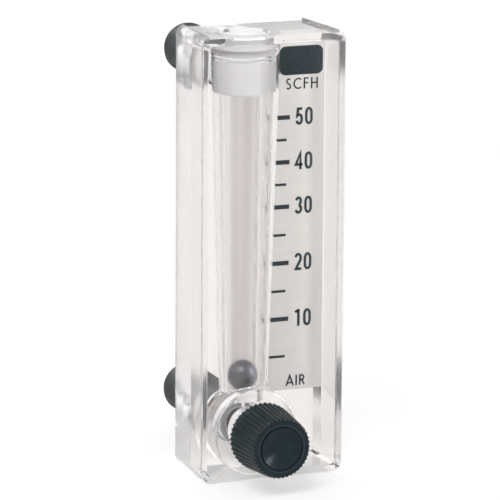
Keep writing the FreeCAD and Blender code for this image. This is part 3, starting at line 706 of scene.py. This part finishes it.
def add_thread(node, material):
    """Threaded stub in place of a fitting: spigot, thread, chamfered end and through bore."""
    low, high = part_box(node)
    centre_x = (low.x + high.x) / 2
    centre_z = (low.z + high.z) / 2
    crest = (high.x - low.x) / 2
    length = high.y - THREAD_START
    count = round(length / THREAD_PITCH * THREAD_ROWS)
    rows = [(low.y, lambda angle: FITTING_BORE), (low.y, lambda angle: SPIGOT_RADIUS),
            (THREAD_START, lambda angle: SPIGOT_RADIUS)]
    for step in range(count + 1):
        along = length * step / count
        rows.append((
            THREAD_START + along,
            lambda angle, along=along: thread_radius(crest, along, angle, length),
        ))
    rows.append((high.y, lambda angle: FITTING_BORE))
    angles = [TURN * side / THREAD_SIDES for side in range(THREAD_SIDES)]
    mesh = ring_mesh([
        [
            (centre_x + radius(angle) * math.cos(angle), y,
             centre_z + radius(angle) * math.sin(angle))
            for angle in angles
        ]
        for y, radius in rows
    ])
    piece = mesh_piece(f"{node}_threaded", mesh, material, "housing")
    piece.data.set_sharp_from_angle(angle=SHARP_ANGLE)
    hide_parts(node)


# Bonding film behind the scale, a hair thinner than its solid so that it clears the clear floor
FILM_GAP = 0.01 * MM


def add_film(material):
    low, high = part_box("scale_adhesive")
    source = nodes["scale_adhesive"].data
    mesh = bmesh.new()
    mesh.from_mesh(source)
    middle = (low.y + high.y) / 2
    for vert in mesh.verts:
        vert.co.y += FILM_GAP if vert.co.y < middle else -FILM_GAP
    bmesh.ops.remove_doubles(mesh, verts=mesh.verts, dist=0.001 * MM)
    piece = mesh_piece("scale_film", mesh, material, "housing", smooth=False)
    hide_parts("scale_adhesive")


# Lettering of the scale, drawn as strokes on a grid of one unit height
INK_THICKNESS = 0.05 * MM


def arc(x, y, rx, ry, start, end, steps=14):
    """Points on an ellipse from one angle to another, in degrees."""
    angles = [math.radians(start + (end - start) * step / steps) for step in range(steps + 1)]
    return [(x + rx * math.cos(a), y + ry * math.sin(a)) for a in angles]


# Each glyph: its width, then its strokes
GLYPHS = {
    "0": (0.46, [arc(0.23, 0.66, 0.165, 0.275, 0, 180) + arc(0.23, 0.34, 0.165, 0.275, 180, 360)
                 + [(0.395, 0.66)]]),
    "1": (0.46, [[(0.27, 0.0), (0.27, 1.0)], [(0.06, 0.83), (0.27, 0.94)]]),
    "2": (0.46, [arc(0.22, 0.72, 0.155, 0.215, 170, 0)
                 + [(0.36, 0.58), (0.08, 0.065), (0.42, 0.065)]]),
    "3": (0.46, [arc(0.21, 0.735, 0.145, 0.20, 165, -80),
                 arc(0.205, 0.275, 0.165, 0.21, 85, -165)]),
    "4": (0.46, [[(0.31, 0.0), (0.31, 0.97), (0.03, 0.28), (0.44, 0.28)]]),
    "5": (0.46, [[(0.40, 0.935), (0.13, 0.935), (0.10, 0.54)]
                 + arc(0.205, 0.33, 0.165, 0.265, 120, -160)]),
    "S": (0.58, [arc(0.29, 0.735, 0.18, 0.20, 40, 235, 12)
                 + arc(0.27, 0.27, 0.19, 0.205, 55, -145, 12)]),
    "C": (0.78, [arc(0.46, 0.5, 0.40, 0.435, 48, 312, 22)]),
    "F": (0.52, [[(0.09, 0.0), (0.09, 0.935), (0.47, 0.935)], [(0.09, 0.52), (0.44, 0.52)]]),
    "H": (0.70, [[(0.09, 0.0), (0.09, 1.0)], [(0.61, 0.0), (0.61, 1.0)],
                 [(0.09, 0.5), (0.61, 0.5)]]),
    "A": (0.76, [[(0.03, 0.0), (0.38, 0.97), (0.73, 0.0)], [(0.15, 0.28), (0.61, 0.28)]]),
    "I": (0.24, [[(0.12, 0.0), (0.12, 1.0)]]),
    "R": (0.58, [[(0.09, 0.0), (0.09, 0.935), (0.27, 0.935)] + arc(0.27, 0.71, 0.21, 0.225, 90, -90)
                 + [(0.09, 0.485)], [(0.30, 0.48), (0.53, 0.0)]]),
}


def ribbon(points, width):
    """Both sides of a stroke with mitred corners."""
    left = []
    right = []
    for step, point in enumerate(points):
        here = Vector(point)
        back = here - Vector(points[step - 1]) if step else None
        ahead = Vector(points[step + 1]) - here if step + 1 < len(points) else None
        before = (back or ahead).normalized()
        after = (ahead or back).normalized()
        side = Vector((-before.y - after.y, before.x + after.x)).normalized()
        reach = width / 2 / max(0.35, side.dot(Vector((-before.y, before.x))))
        left.append(here + side * reach)
        right.append(here - side * reach)
    return left, right


def letter_mesh(mesh, text, centre_x, centre_z, height, gap, stroke, front):
    """Adds a line of lettering, centred, standing out of the plane y = front."""
    widths = [GLYPHS[letter][0] for letter in text]
    total = (sum(widths) + gap * (len(text) - 1)) * height
    start = centre_x - total / 2
    for letter, width in zip(text, widths):
        for points in GLYPHS[letter][1]:
            left, right = ribbon(points, stroke)
            sheets = []
            for depth in (front, front - INK_THICKNESS):
                sheets.append([
                    [mesh.verts.new((start + p.x * height, depth, centre_z + (p.y - 0.5) * height))
                     for p in edge]
                    for edge in (left, right)
                ])
            near, far = sheets[1], sheets[0]
            for step in range(len(left) - 1):
                after = step + 1
                mesh.faces.new((near[0][step], near[0][after], near[1][after], near[1][step]))
                mesh.faces.new((far[0][step], far[1][step], far[1][after], far[0][after]))
                for edge in (0, 1):
                    mesh.faces.new((near[edge][step], far[edge][step],
                                    far[edge][after], near[edge][after]))
            for step in (0, -1):
                mesh.faces.new((near[0][step], near[1][step], far[1][step], far[0][step]))
        start += (width + gap) * height


# Each piece of lettering: height of its letters in mm, gap and stroke as shares of that height,
# then its lines with the X and Z of their middle in mm
LETTERING = {
    "scale_numbers": (3.3, 0.12, 0.15, [
        ("50", 12.05, 25.03),
        ("40", 12.05, 16.43),
        ("30", 12.05, 7.83),
        ("20", 12.05, -3.17),
        ("10", 12.05, -14.17),
    ]),
    "scale_unit": (2.15, 0.17, 0.13, [("SCFH", 11.5, 31.33)]),
    "scale_gas_name": (2.05, 0.16, 0.14, [("AIR", 10.7, -26.47)]),
}


def add_lettering(material):
    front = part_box("scale_plate")[0].y
    for name, (height, gap, stroke, lines) in LETTERING.items():
        mesh = bmesh.new()
        for text, x, z in lines:
            letter_mesh(mesh, text, x * MM, z * MM, height * MM, gap, stroke, front)
        mesh_piece(name, mesh, material, "housing", smooth=False)


# Light is followed through many walls of clear plastic
CLEAR_BOUNCES = 24
GLOSSY_BOUNCES = 12


def set_view():
    scene = bpy.context.scene
    scene.view_settings.view_transform = "Standard"
    scene.cycles.max_bounces = CLEAR_BOUNCES
    scene.cycles.transmission_bounces = CLEAR_BOUNCES
    scene.cycles.glossy_bounces = GLOSSY_BOUNCES
    scene.cycles.transparent_max_bounces = CLEAR_BOUNCES
    scene.cycles.caustics_reflective = False
    scene.cycles.caustics_refractive = True


add_camera()
add_world()
add_sun("sun", SUN_STRENGTH, SUN_ANGLE, SUN_FROM)
for name, (strength, source) in LAMPS.items():
    add_sun(name, strength, LAMP_ANGLE, source, matt=False)
add_floor(pale_floor())
materials = make_materials()
dress_nodes(materials)
add_thread("inlet_fitting", materials["fitting_black"])
add_thread("outlet_fitting", materials["fitting_black"])
add_plug(materials["plug_plastic"], materials["seal_silicone"])
add_film(materials["adhesive"])
add_lettering(materials["scale_ink"])
set_view()
